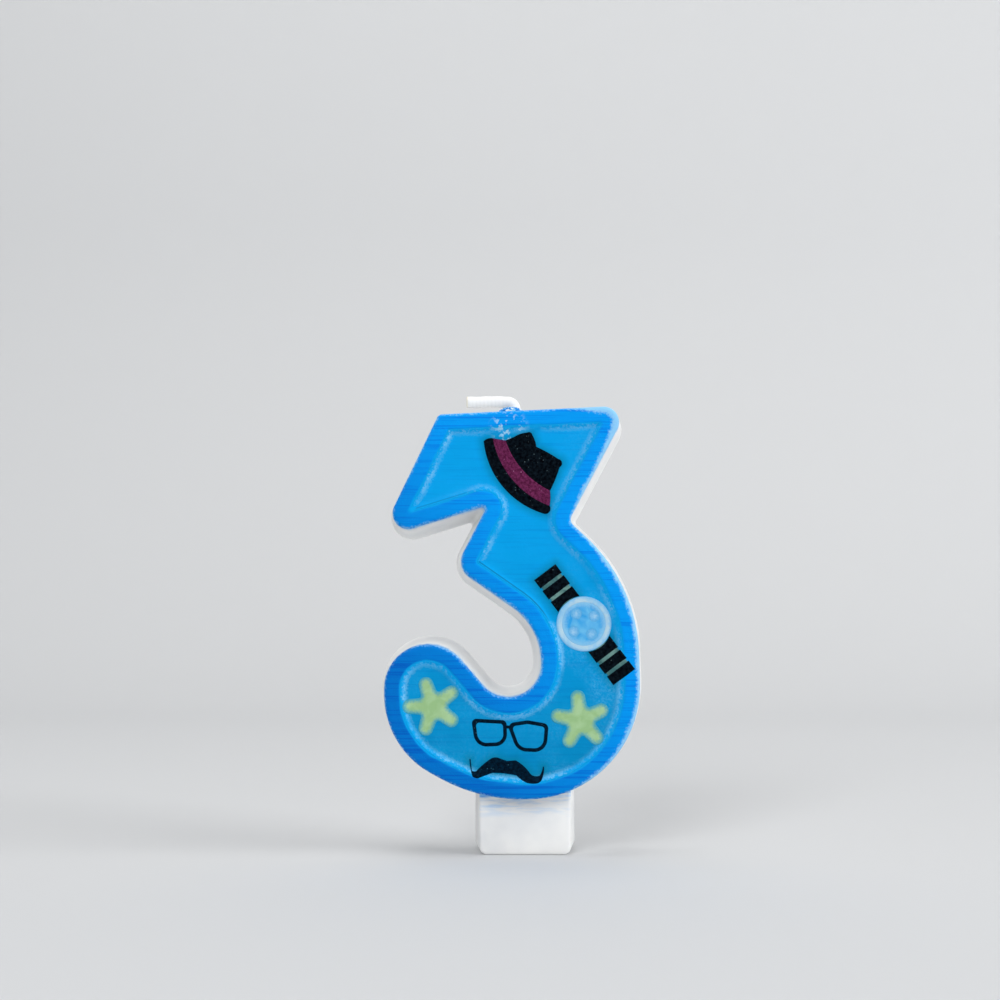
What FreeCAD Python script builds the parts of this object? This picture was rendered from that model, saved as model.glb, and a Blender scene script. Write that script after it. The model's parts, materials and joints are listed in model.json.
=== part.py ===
import FreeCAD, Part
import math
import os

# Number candle "3": a white wax numeral on a foot, with a raised blue rim, a blue face,
# small dyed-wax motifs laid on the front, and a wick folded flat for packing.
# X runs to the right, the front faces -Y, Z is up; the origin is under the middle of the foot.

V = FreeCAD.Vector
os.makedirs("parts", exist_ok=True)

# Overall sizes, mm
DIGIT_HEIGHT = 62.5
BODY_DEPTH = 12.0
DRAFT = 1.3                     # the back outline stands this far outside the front one
FOOT_HEIGHT = 9.2
FOOT_WIDTH = 14.6               # at its front face
FOOT_SETBACK = 3.0              # foot front face behind the numeral's front
FOOT_CORNER = 1.2

# Wax layers on the front
RIM_WIDTH = 2.4                 # flat top of the rim
RIM_SLOPE = 0.8                 # sideways run of its inner wall
RIM_THICK = 1.0
RIM_ROUND = 0.25                # broken outer edge
FACE_THICK = 0.4
FILM = 0.2                      # motif thickness
SMALL_ROUND = 0.5               # least corner radius left on an offset outline

# Wick
WICK_RADIUS = 1.0
WICK_REACH = 7.9                # from the bend to the cut end
WICK_EMBED = 24.0
WICK_Y = -2.0
WICK_AIR = 0.6                  # daylight between the folded wick and the wax under it
BEND_AIR = 0.15

UNIT = DIGIT_HEIGHT / 62.5      # everything drawn on the numeral grows with it
FRONT_Y = -BODY_DEPTH / 2
BACK_Y = BODY_DEPTH / 2
BODY_Y = FRONT_Y + RIM_THICK
FACE_Y = BODY_Y - FACE_THICK

# The numeral as a belt round circles (x, height above its lowest point, radius).
# The belt bends outward round a positive radius and inward round a negative one.
NUMERAL = [
    (0.3, 18.0, 18.0),          # lower right of the bowl
    (-8.3, 22.3, 26.5),         # right side of the bowl
    (8.7, 44.6, -1.4),          # waist on the right
    (12.8, 60.4, 2.4),          # top right corner
    (-13.3, 60.6, 1.0),         # top left corner
    (-18.8, 45.6, 2.5),         # tip of the upper arm
    (-6.8, 46.2, -0.5),         # crotch under the arm
    (-7.2, 37.8, 3.0),          # corner over the open bowl
    (-8.1, 21.6, -10.8),        # roof of the open bowl
    (-2.7, 21.4, -5.4),         # floor of the open bowl
    (-15.6, 17.5, 6.9),         # hooked end
    (-8.3, 16.6, 14.2),         # lower left of the bowl
    (-0.5, 27.5, 27.5),         # bottom sweep
]


def belt(circles, y, grow=0.0):
    """Closed wire of tangent lines and arcs round the circles, offset outward by grow."""
    places = [V(x, 0, z) for x, z, radius in circles]
    radii = [radius for x, z, radius in circles]
    count = len(circles)

    def normal(i, grown):
        step = grown[(i + 1) % count][0] - grown[i][0]
        along = V(step).normalize()
        lean = (grown[i][1] - grown[(i + 1) % count][1]) / step.Length
        return along * lean + V(along.z, 0, -along.x) * math.sqrt(1 - lean * lean)

    def middle_normal(i, grown):
        before = normal(i - 1, grown)
        after = normal(i, grown)
        start = math.atan2(before.z, before.x)
        turn = (math.atan2(after.z, after.x) - start) % (2 * math.pi)
        if grown[i][1] < 0:
            turn -= 2 * math.pi
        return V(math.cos(start + turn / 2), 0, math.sin(start + turn / 2))

    plain = list(zip(places, radii))
    grown = []
    for i in range(count):
        spot = places[i]
        radius = radii[i] + grow
        least = math.copysign(SMALL_ROUND * UNIT, radii[i])
        if grow and (radius - least) * least < 0:
            middle = middle_normal(i, plain)
            spot = spot - middle * ((least - radius) / middle.dot(normal(i, plain)))
            radius = least
        grown.append((spot, radius))
    lift = V(0, y, 0)
    edges = []
    for i in range(count):
        spot, radius = grown[i]
        next_spot, next_radius = grown[(i + 1) % count]
        before = spot + normal(i - 1, grown) * radius
        middle = spot + middle_normal(i, grown) * radius
        after = spot + normal(i, grown) * radius
        edges.append(Part.Arc(before + lift, middle + lift, after + lift).toShape())
        edges.append(Part.makeLine(after + lift, next_spot + normal(i, grown) * next_radius + lift))
    return Part.Wire(edges)


def wall(first, second):
    """Face between two matching edges: a plane between straight ones, ruled between arcs."""
    if not isinstance(first.Curve, Part.Line):
        return Part.makeRuledSurface(first, second)
    start, end = [vertex.Point for vertex in first.Vertexes]
    far_start, far_end = [vertex.Point for vertex in second.Vertexes]
    return Part.Face(Part.makePolygon([start, end, far_end, far_start, start]))


def stack(wires):
    """Solid through closed wires of matching edges, one above the other."""
    faces = [Part.Face(wires[0]), Part.Face(wires[-1])]
    for lower, upper in zip(wires, wires[1:]):
        for first, second in zip(lower.Edges, upper.Edges):
            faces.append(wall(first, second))
    shell = Part.Shell(faces)
    shell.sewShape()
    solid = Part.Solid(shell)
    if solid.Volume < 0:
        solid.reverse()
    return solid


def numeral(sections):
    """Solid through the numeral's outline at (y, outward offset) sections."""
    lifted = [(x * UNIT, FOOT_HEIGHT + z * UNIT, radius * UNIT) for x, z, radius in NUMERAL]
    return stack([belt(lifted, y, grow) for y, grow in sections])


def draft_at(y):
    return DRAFT * (y - FRONT_Y) / BODY_DEPTH


def place(points, centre, turn):
    """Artwork points in mm, turned anticlockwise by degrees and set at a centre on the numeral."""
    angle = math.radians(turn)
    placed = []
    for x, z in points:
        across = x * math.cos(angle) - z * math.sin(angle) + centre[0]
        above = x * math.sin(angle) + z * math.cos(angle) + centre[1]
        placed.append(V(across * UNIT, 0, FOOT_HEIGHT + above * UNIT))
    return placed


def drawn(corners, centre, turn=0.0):
    """Closed wire through corners (x, z, bow); bow is how far that side swells outward at its middle."""
    count = len(corners)
    points = place([(x, z) for x, z, bow in corners], centre, turn)
    edges = []
    for i in range(count):
        start = points[i]
        end = points[(i + 1) % count]
        bow = corners[i][2] * UNIT
        if bow == 0:
            edges.append(Part.makeLine(start, end))
            continue
        side = (end - start).normalize()
        middle = (start + end) * 0.5 + V(side.z, 0, -side.x) * bow
        edges.append(Part.Arc(start, middle, end).toShape())
    return Part.Wire(edges)


def rounded(circles, centre, turn=0.0, grow=0.0):
    """Closed belt round artwork circles (x, z, radius) set at a centre on the numeral."""
    points = place([(x, z) for x, z, radius in circles], centre, turn)
    placed = [(point.x, point.z, circle[2] * UNIT) for point, circle in zip(points, circles)]
    return belt(placed, 0, grow * UNIT)


def ring_circle(radius, centre):
    middle = place([(0, 0)], centre, 0)[0]
    return Part.Wire(Part.makeCircle(radius * UNIT, middle, V(0, 1, 0)))


front_wax = None


def punch(outline):
    """Prism of an outline, long enough to pass through every wax layer on the front."""
    prism = Part.Face(outline).extrude(V(0, RIM_THICK + 2 * FILM, 0))
    prism.translate(V(0, FRONT_Y - 2 * FILM, 0))
    return prism


def film(outline, holes=()):
    """Skin of wax FILM thick that follows the front of the candle inside an outline."""
    raised = front_wax.copy()
    raised.translate(V(0, -FILM, 0))
    skin = punch(outline).common(raised).cut(front_wax)
    for hole in holes:
        skin = skin.cut(punch(hole))
    return skin


def save(name, shape):
    solids = shape.Solids
    if len(solids) != 1:
        raise RuntimeError(name + " has " + str(len(solids)) + " solids")
    if not solids[0].isValid():
        raise RuntimeError(name + " is not a valid solid")
    solids[0].exportStep("parts/" + name + ".step")


# Rim: a band that follows the outline, flat on top, with a sloping inner wall
FACE_EDGE = RIM_WIDTH + RIM_SLOPE
rim_outside = numeral([
    (FRONT_Y, -RIM_ROUND),
    (FRONT_Y + RIM_ROUND, draft_at(FRONT_Y + RIM_ROUND)),
    (BODY_Y, draft_at(BODY_Y)),
])
rim_inside = numeral([
    (FRONT_Y, -RIM_WIDTH),
    (FACE_Y, -FACE_EDGE),
    (BODY_Y, -FACE_EDGE),
])
outline_rim = rim_outside.cut(rim_inside)

# Face: the panel that fills the rim
face_fill = numeral([(FACE_Y, -FACE_EDGE), (BODY_Y, -FACE_EDGE)])
front_wax = outline_rim.fuse(face_fill)

# Wick: a core standing in the wax and a free end folded over to the left
top_z = FOOT_HEIGHT + 62.1 * UNIT + draft_at(WICK_Y)
bend = V(-1.6 * UNIT, WICK_Y, top_z + WICK_AIR + WICK_RADIUS)
core_top = bend.z - WICK_RADIUS - BEND_AIR
core_foot = V(bend.x, bend.y, bend.z - WICK_EMBED)
wick_core = Part.makeCylinder(WICK_RADIUS, core_top - core_foot.z, core_foot)
wick_tip = Part.makeCylinder(WICK_RADIUS, WICK_REACH, bend, V(-1, 0, 0))
wick_tip = wick_tip.fuse(Part.makeSphere(WICK_RADIUS, bend)).removeSplitter()

# Body: the drafted numeral and its foot in one casting, bored for the wick
digit = numeral([(BODY_Y, draft_at(BODY_Y)), (BACK_Y, DRAFT)])
foot_reach = FOOT_HEIGHT + 6 * UNIT
foot_y = FRONT_Y + FOOT_SETBACK


def foot_section(y):
    half = FOOT_WIDTH / 2 + draft_at(y) - draft_at(foot_y)
    low = FOOT_CORNER
    corners = [
        (half - low, low, low),
        (half - low, foot_reach, low),
        (-half + low, foot_reach, low),
        (-half + low, low, low),
    ]
    return belt(corners, y)


foot = stack([foot_section(foot_y), foot_section(BACK_Y)])
wax_body = digit.fuse(foot).cut(wick_core).removeSplitter()

save("wax_body", wax_body)
save("outline_rim", outline_rim)
save("face_fill", face_fill)
save("wick_core", wick_core)
save("wick_tip", wick_tip)

# Hat, drawn level and tilted to the right
HAT = (-0.8, 52.8)
HAT_TURN = -45
BRIM_LINE = [(-6.6, 0.4), (7.7, -0.9)]      # where the brim meets the band, left to right
CROWN_LINE = [(-4.9, 1.6), (6.0, 0.9)]      # where the band meets the crown
BRIM_BOW = 1.9
CROWN_BOW = 1.1
save("hat_brim", film(drawn([
    (*BRIM_LINE[0], 0.2),
    (-7.3, -1.0, 2.35),
    (8.0, -2.4, 0.5),
    (*BRIM_LINE[1], -BRIM_BOW),
], HAT, HAT_TURN)))
save("hat_band", film(drawn([
    (*BRIM_LINE[0], BRIM_BOW),
    (*BRIM_LINE[1], 0.1),
    (*CROWN_LINE[1], -CROWN_BOW),
    (*CROWN_LINE[0], 0.0),
], HAT, HAT_TURN)))
save("hat_crown", film(drawn([
    (*CROWN_LINE[0], CROWN_BOW),
    (*CROWN_LINE[1], 0.1),
    (4.4, 4.7, 0.5),
    (3.3, 5.5, 0.1),
    (-0.6, 4.4, 0.1),
    (-2.4, 5.3, 0.25),
    (-3.3, 5.0, 0.15),
    (-4.3, 3.0, 0.0),
], HAT, HAT_TURN)))

# Wristwatch: a bezel ring, a dial, four hour marks and two straps of three links
WATCH = (9.45, 27.75)
WATCH_TURN = 37
BEZEL_RADIUS = 4.4
DIAL_RADIUS = 3.5
STRAP_HALF = 2.15
LINK_GAP = 0.5
MARK_RADIUS = 0.9
MARK_REACH = 2.05
save("watch_bezel", film(ring_circle(BEZEL_RADIUS, WATCH), [ring_circle(DIAL_RADIUS, WATCH)]))
dial_marks = []
for number in range(4):
    angle = math.radians(WATCH_TURN + 90 * number)
    centre = (WATCH[0] + MARK_REACH * math.cos(angle), WATCH[1] + MARK_REACH * math.sin(angle))
    dial_marks.append(ring_circle(MARK_RADIUS, centre))
    save("watch_mark_" + str(number + 1), film(dial_marks[-1]))
save("watch_dial", film(ring_circle(DIAL_RADIUS, WATCH), dial_marks))
clear = BEZEL_RADIUS + 0.1
neck = math.sqrt(clear * clear - STRAP_HALF * STRAP_HALF)
for word, side, strap_reach, link in (("upper", 1, 10.4, 1.7), ("lower", -1, 10.6, 1.7)):
    for number in range(3):
        far = strap_reach - (2 - number) * (link + LINK_GAP)
        near = far - link if number else neck
        hollow = 0.0 if number else neck - clear
        save("strap_" + word + "_" + str(number + 1), film(drawn([
            (STRAP_HALF * side, near * side, 0.0),
            (STRAP_HALF * side, far * side, 0.0),
            (-STRAP_HALF * side, far * side, 0.0),
            (-STRAP_HALF * side, near * side, hollow),
        ], WATCH, WATCH_TURN)))

# Two stars with five rounded arms
STAR_ARM = (3.65, 1.2)
STAR_VALLEY = (2.9, -0.4)
for word, centre, turn in (("left", (-14.75, 14.6), 18), ("right", (8.85, 12.4), 7)):
    circles = []
    for step in range(10):
        reach, radius = (STAR_ARM, STAR_VALLEY)[step % 2]
        angle = math.radians(90 + 36 * step)
        circles.append((reach * math.cos(angle), reach * math.sin(angle), radius))
    save("star_" + word, film(rounded(circles, centre, turn)))

# Spectacles: two rims and a bridge drawn in one line
GLASSES = (-2.6, 11.2)
LINE = 0.6
LENSES = [
    [(-5.2, 0.75, 0.4), (-3.55, -0.85, 1.8), (-2.2, -1.0, 1.6), (-1.1, 0.5, 0.45)],
    [(0.9, 0.0, 0.6), (2.9, -1.5, 1.95), (4.1, -1.75, 1.75), (5.4, -0.1, 0.6), (3.0, -0.6, 1.5)],
]
bridge = [(-0.9, 0.6, 0.0), (-0.8, -0.2, -0.2), (0.4, -0.4, 0.0), (0.5, 0.4, -0.1)]
glasses = film(drawn(bridge, GLASSES))
for circles in LENSES:
    glasses = glasses.fuse(film(rounded(circles, GLASSES, 0, LINE / 2)))
for circles in LENSES:
    glasses = glasses.cut(punch(rounded(circles, GLASSES, 0, -LINE / 2)))
save("glasses", glasses.removeSplitter())

# Moustache with curled ends
save("moustache", film(drawn([
    (-6.0, 1.5, 0.1),
    (-5.5, -1.2, 0.1),
    (-4.6, -1.5, 0.0),
    (-2.3, -0.7, -0.1),
    (1.5, -1.1, 0.1),
    (3.1, -2.2, 0.1),
    (4.8, -2.3, 0.2),
    (5.7, -1.3, 0.1),
    (5.9, 0.3, 0.0),
    (5.7, 0.3, -0.1),
    (5.2, -1.1, -0.2),
    (3.8, -0.9, 0.2),
    (1.4, 1.3, 0.0),
    (0.0, 1.2, 0.0),
    (-1.4, 1.7, 0.1),
    (-2.5, 1.6, 0.1),
    (-4.9, -0.4, -0.1),
    (-5.6, -0.3, 0.0),
    (-5.8, 1.5, 0.0),
], (-2.9, 4.8))))
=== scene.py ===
import json
import math

import bpy
import numpy as np
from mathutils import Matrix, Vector


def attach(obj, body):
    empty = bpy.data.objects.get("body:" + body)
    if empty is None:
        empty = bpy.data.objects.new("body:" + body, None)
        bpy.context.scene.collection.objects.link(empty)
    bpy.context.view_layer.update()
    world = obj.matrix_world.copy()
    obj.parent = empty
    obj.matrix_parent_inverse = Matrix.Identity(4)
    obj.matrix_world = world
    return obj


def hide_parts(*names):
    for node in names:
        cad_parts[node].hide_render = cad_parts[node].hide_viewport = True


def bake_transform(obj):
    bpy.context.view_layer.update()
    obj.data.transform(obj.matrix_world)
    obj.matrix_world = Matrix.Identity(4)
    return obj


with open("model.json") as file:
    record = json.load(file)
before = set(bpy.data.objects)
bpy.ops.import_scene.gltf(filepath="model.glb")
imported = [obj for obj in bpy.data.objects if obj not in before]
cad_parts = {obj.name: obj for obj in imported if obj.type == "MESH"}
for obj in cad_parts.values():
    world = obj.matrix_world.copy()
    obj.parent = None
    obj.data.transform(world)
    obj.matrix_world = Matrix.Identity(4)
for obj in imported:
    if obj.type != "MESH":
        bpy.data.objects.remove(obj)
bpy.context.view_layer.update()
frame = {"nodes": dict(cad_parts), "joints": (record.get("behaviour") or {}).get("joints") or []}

# ---------------------------------------------------------------- white wax body
# The numeral and its foot are one casting of white paraffin wax, poured in an open mould: the
# sides spread towards the flat back, and the wax lets a little light in at its edges.
MM = 0.001
FOOT_HEIGHT = 9.2
HALF_DEPTH = 6.0
DRAFT = 1.3
RIM_THICK = 1.0
# circles the numeral's outline runs round: across, height over its lowest point, radius;
# a negative radius is a hollow corner
NUMERAL = np.array([
    (0.3, 18.0, 18.0),      # lower right of the bowl
    (-8.3, 22.3, 26.5),     # right side of the bowl
    (8.7, 44.6, -1.4),      # waist
    (12.8, 60.4, 2.4),      # top right
    (-13.3, 60.6, 1.0),     # top left
    (-18.8, 45.6, 2.5),     # tip of the arm
    (-6.8, 46.2, -0.5),     # crotch under the arm
    (-7.2, 37.8, 3.0),      # corner over the open bowl
    (-8.1, 21.6, -10.8),    # roof of the open bowl
    (-2.7, 21.4, -5.4),     # floor of the open bowl
    (-15.6, 17.5, 6.9),     # hooked end
    (-8.3, 16.6, 14.2),     # lower left of the bowl
    (-0.5, 27.5, 27.5),     # bottom sweep
]) + (0, FOOT_HEIGHT, 0)
FOOT = np.array([(6.1, 1.2, 1.2), (6.1, 17.0, 1.2), (-6.1, 17.0, 1.2), (-6.1, 1.2, 1.2)])
LEAST_ROUND = 0.5
# the rounded edge of the back: how far it has drawn in, and at what depth
BACK_ROUND = ((0.03, 5.75), (0.14, 5.91), (0.32, 5.98), (0.6, 6.0))
FOOT_FRONT = -3.0
# the foot from front to back: how far it has drawn in, and at what depth
FOOT_SECTION = ((0.5, -3.0), (0.22, -2.96), (0.06, -2.82), (0.0, -2.5), (0.0, 1.0), (0.0, 5.5),
                (0.1, 5.8), (0.3, 5.93), (0.5, 5.96))
SHARP_EDGE = math.radians(35)


def belt(circles, grow=0.0, across_arc=20, along_line=10):
    """Closed outline (N, 2) in mm of a belt round circles, spread outward by grow.

    On circle k the point is centre + radius * n(angle), the angle running evenly from the
    normal of the tangent before it to that of the tangent after; between circles it runs
    evenly along the tangent. A corner too small to shrink keeps LEAST_ROUND and moves inward.
    """
    def normals(c):
        step = np.roll(c[:, :2], -1, 0) - c[:, :2]
        far = np.hypot(step[:, 0], step[:, 1])
        step = step / far[:, None]
        lean = (c[:, 2] - np.roll(c[:, 2], -1)) / far
        side = np.stack([step[:, 1], -step[:, 0]], 1)
        after = step * lean[:, None] + side * np.sqrt(1 - lean**2)[:, None]
        before = np.roll(after, 1, 0)
        start = np.arctan2(before[:, 1], before[:, 0])
        turn = (np.arctan2(after[:, 1], after[:, 0]) - start) % (2 * np.pi)
        turn = turn - 2 * np.pi * (c[:, 2] < 0)
        return after, start, turn

    c = circles.copy()
    after, start, turn = normals(c)
    middle = np.stack([np.cos(start + turn / 2), np.sin(start + turn / 2)], 1)
    c[:, 2] += grow
    least = np.copysign(LEAST_ROUND, circles[:, 2])
    tight = (c[:, 2] - least) * least < 0 if grow else np.zeros(len(c), bool)
    shift = np.where(tight, (least - c[:, 2]) / np.cos(turn / 2), 0)
    c[:, :2] -= middle * shift[:, None]
    c[:, 2] = np.where(tight, least, c[:, 2])
    after, start, turn = normals(c)
    angle = start[:, None] + turn[:, None] * np.linspace(0, 1, across_arc)
    arc = c[:, None, :2] + c[:, 2][:, None, None] * np.stack([np.cos(angle), np.sin(angle)], 2)
    share = np.linspace(0, 1, along_line + 2)[1:-1, None]
    line = arc[:, -1, None] * (1 - share) + np.roll(arc[:, 0], -1, 0)[:, None] * share
    return np.concatenate([arc, line], 1).reshape(-1, 2)


def rings_mesh(name, rings, closed=False):
    """Mesh through rings (K, N, 3) in mm, each quad joining a ring to the next.

    closed joins the last ring to the first; otherwise one flat face shuts each end.
    """
    count, around = rings.shape[:2]
    k = np.arange(count if closed else count - 1)[:, None]
    n = np.arange(around)[None]
    a = k * around + n
    b = k * around + (n + 1) % around
    c = (k + 1) % count * around + (n + 1) % around
    d = (k + 1) % count * around + n
    faces = np.stack([a, b, c, d], 2).reshape(-1, 4).tolist()
    if not closed:
        faces.append(list(range(around))[::-1])
        faces.append(list(range((count - 1) * around, count * around)))
    mesh = bpy.data.meshes.new(name)
    mesh.from_pydata((rings.reshape(-1, 3) * MM).tolist(), [], faces)
    mesh.shade_smooth()
    if not closed:
        flat = np.ones(len(faces), bool)
        flat[-2:] = False
        mesh.polygons.foreach_set("use_smooth", flat)
    mesh.update()
    return mesh


def show(name, mesh, material):
    """A new object named name in the scene, holding mesh and wearing material."""
    mesh.materials.clear()
    mesh.materials.append(material)
    piece = bpy.data.objects.new(name, mesh)
    bpy.context.scene.collection.objects.link(piece)
    return piece


def at_depth(outline, y):
    """Ring (N, 3) of an (N, 2) outline set at depth y; negative y is the front."""
    return np.stack([outline[:, 0], np.full(len(outline), y), outline[:, 1]], 1)


def linear(colour):
    """Linear RGBA of an sRGB hex colour such as "e8e6e0"."""
    share = np.array([int(colour[i:i + 2], 16) for i in (0, 2, 4)]) / 255
    rgb = np.where(share <= 0.04045, share / 12.92, ((share + 0.055) / 1.055) ** 2.4)
    return (*rgb.tolist(), 1.0)


def add(tree, kind, settings=None, links=None):
    """A new shader node; settings gives its properties and inputs, links what feeds an input."""
    node = tree.nodes.new("ShaderNode" + kind)
    for key, value in (settings or {}).items():
        if isinstance(key, str) and hasattr(node, key):
            setattr(node, key, value)
        else:
            node.inputs[key].default_value = value
    for key, source in (links or {}).items():
        tree.links.new(source, node.inputs[key])
    return node


def new_wax(name, roughness, glow, shine=0.5):
    """A material of paraffin wax: (material, tree, principled node, object coordinates).

    Wax has an index near 1.44, and light wanders a millimetre or so inside it. glow is how
    much of the light does so, and shine how strongly the surface mirrors.
    """
    material = bpy.data.materials.new(name)
    material.use_nodes = True
    tree = material.node_tree
    shader = tree.nodes["Principled BSDF"]
    for key, value in {"IOR": 1.44, "Roughness": roughness, "Subsurface Weight": glow,
                       "Subsurface Scale": 0.0012, "Subsurface Radius": (1.0, 1.0, 1.0),
                       "Specular IOR Level": shine}.items():
        shader.inputs[key].default_value = value
    place = add(tree, "TexCoord").outputs["Object"]
    return material, tree, shader, place


# cast paraffin, turned out of a mould: satin, faintly wavy, with soft pits and a milky glow
white_wax, tree, shader, place = new_wax("cast_white_paraffin", 0.42, 0.35)
cloud = add(tree, "TexNoise", {"Scale": 1 / (7 * MM), "Detail": 3}, {"Vector": place})
white = add(tree, "ValToRGB", links={"Fac": cloud.outputs["Fac"]})
white.color_ramp.elements[0].position = 0.3
white.color_ramp.elements[0].color = linear("e7e8e9")
white.color_ramp.elements[1].position = 0.65
white.color_ramp.elements[1].color = linear("f6f6f4")
# blue from the rim creeps a millimetre or two over the edge, in fuzzy patches
axes = add(tree, "SeparateXYZ", links={"Vector": place})
fuzz = add(tree, "TexNoise", {"Scale": 1 / (0.8 * MM), "Detail": 3, "Roughness": 0.55},
           {"Vector": place})
creep = add(tree, "Math", {"operation": "MULTIPLY_ADD", 1: -5.0 * MM},
            {0: fuzz.outputs["Fac"], 2: axes.outputs["Y"]})
drift = add(tree, "Math", {"operation": "MULTIPLY_ADD", 1: -2.5 * MM},
            {0: cloud.outputs["Fac"], 2: creep.outputs[0]})
over = add(tree, "MapRange", {"interpolation_type": "SMOOTHSTEP", "From Min": -7.0 * MM,
                              "From Max": -9.1 * MM, "To Max": 0.62}, {"Value": drift.outputs[0]})
# a level bluish stain across the top of the foot's front, where it meets the numeral
stain_map = add(tree, "Mapping", {"Scale": (1 / (6 * MM), 1 / (6 * MM), 1 / (0.8 * MM))},
                {"Vector": place})
stain_noise = add(tree, "TexNoise", {"Scale": 1.0, "Detail": 3}, {"Vector": stain_map.outputs[0]})
streaky = add(tree, "MapRange", {"From Min": 0.42, "From Max": 0.66, "To Max": 0.85},
              {"Value": stain_noise.outputs["Fac"]})
below = add(tree, "MapRange", {"interpolation_type": "SMOOTHSTEP", "From Min": 5.4 * MM,
                               "From Max": 9.0 * MM}, {"Value": axes.outputs["Z"]})
above = add(tree, "MapRange", {"From Min": 12 * MM, "From Max": 11 * MM},
            {"Value": axes.outputs["Z"]})
in_front = add(tree, "MapRange", {"From Min": -1.5 * MM, "From Max": -2.8 * MM},
               {"Value": axes.outputs["Y"]})
stain = streaky
for part in (below, above, in_front):
    stain = add(tree, "Math", {"operation": "MULTIPLY"}, {0: stain.outputs[0], 1: part.outputs[0]})
beside_rim = add(tree, "MapRange", {"From Min": -3.2 * MM, "From Max": -4.0 * MM},
                 {"Value": axes.outputs["Y"]})
crept = add(tree, "Math", {"operation": "MULTIPLY"}, {0: over.outputs[0], 1: beside_rim.outputs[0]})
tint = add(tree, "Math", {"operation": "MAXIMUM"}, {0: crept.outputs[0], 1: stain.outputs[0]})
tinted = add(tree, "Mix", {"data_type": "RGBA", "B": linear("5db4f2")},
             {"Factor": tint.outputs[0], 6: white.outputs["Color"]})
tree.links.new(tinted.outputs[2], shader.inputs["Base Color"])
fine_bump = add(tree, "Bump", {"Strength": 0.4, "Distance": 0.05 * MM}, {"Height": fuzz.outputs["Fac"]})
wavy = add(tree, "Bump", {"Strength": 0.6, "Distance": 0.25 * MM},
           {"Height": cloud.outputs["Fac"], "Normal": fine_bump.outputs[0]})
tree.links.new(wavy.outputs[0], shader.inputs["Normal"])


def draft_at(y):
    """How far in mm the draft has spread the sides at depth y."""
    return DRAFT * (y + HALF_DEPTH) / (2 * HALF_DEPTH)


BODY_FRONT = RIM_THICK - HALF_DEPTH
side_y = np.linspace(BODY_FRONT, 5.5, 12)
digit_rings = [at_depth(belt(NUMERAL, draft_at(y)), y) for y in side_y]
for drawn_in, y in BACK_ROUND:
    digit_rings.append(at_depth(belt(NUMERAL, DRAFT - drawn_in), y))
wax_body = show("wax_body_cast", rings_mesh("wax_body_cast", np.array(digit_rings)), white_wax)

foot_rings = []
for drawn_in, y in FOOT_SECTION:
    spread = np.sign(FOOT[:, :1]) * (draft_at(y) - draft_at(FOOT_FRONT))
    section = FOOT + np.concatenate([spread, np.zeros((4, 2))], 1)
    foot_rings.append(at_depth(belt(section, -drawn_in), y))
foot = show("foot", rings_mesh("foot", np.array(foot_rings)), white_wax)
union = wax_body.modifiers.new("foot", "BOOLEAN")
union.operation = "UNION"
union.solver = "EXACT"
union.object = foot
bpy.context.view_layer.update()
joined = bpy.data.meshes.new_from_object(wax_body.evaluated_get(bpy.context.evaluated_depsgraph_get()))
wax_body.modifiers.clear()
wax_body.data = joined
bpy.data.objects.remove(foot)
joined.shade_smooth()
joined.set_sharp_from_angle(angle=SHARP_EDGE)
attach(wax_body, "candle")
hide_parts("wax_body")

# ---------------------------------------------------------------- blue rim
# A band of blue wax raised round the whole outline. It was brushed on level while warm, so its
# top carries fine level streaks; outside it fades in a pale fringe, inside it slopes to the face.
# how far in from the outline, and how far behind the front, round the band's section
RIM_SECTION = np.array([
    (-0.11, 1.00), (-0.08, 0.62), (-0.02, 0.34), (0.10, 0.14), (0.30, 0.03), (0.60, 0.00),
    (1.10, 0.015), (1.60, 0.02), (1.90, 0.00), (2.15, 0.01), (2.30, 0.04), (2.45, 0.09),
    (2.60, 0.19), (2.80, 0.36), (3.00, 0.55), (3.10, 0.80), (2.00, 0.95),
])
# the inner slope's own line, from the band's top down to the level face
SLOPE_LINE = np.array([
    (0.60, 0.00), (1.10, 0.015), (1.60, 0.02), (1.90, 0.00), (2.15, 0.01), (2.30, 0.04), (2.45, 0.09),
    (2.60, 0.155), (2.80, 0.27), (3.00, 0.39), (3.20, 0.48), (3.45, 0.55), (3.80, 0.59), (4.20, 0.60),
])
SPECKS_AT = (-2.6 * MM, -6 * MM, 68.6 * MM)
# centre of the painted glow on the rim's top right corner
GLOW_CORNER = (14 * MM, -6 * MM, 70.5 * MM)


def front_behind(inset):
    """How far behind the front the wax surface lies, in mm, at a distance in from the outline."""
    return np.interp(inset, SLOPE_LINE[:, 0], SLOPE_LINE[:, 1])


def frost(tree, place):
    """(blotchy noise, speckle 0..1) of the pale bloom of soft wax; on the face it also grains a painted
    highlight.
    """
    blotch = add(tree, "TexNoise", {"Scale": 1 / (6 * MM), "Detail": 2}, {"Vector": place})
    speckle = add(tree, "TexNoise", {"Scale": 1 / (0.45 * MM), "Detail": 3, "Roughness": 0.7},
                  {"Vector": place})
    grains = add(tree, "MapRange", {"From Min": 0.42, "From Max": 0.62},
                 {"Value": speckle.outputs["Fac"]})
    return blotch.outputs["Fac"], grains.outputs[0]


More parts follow.
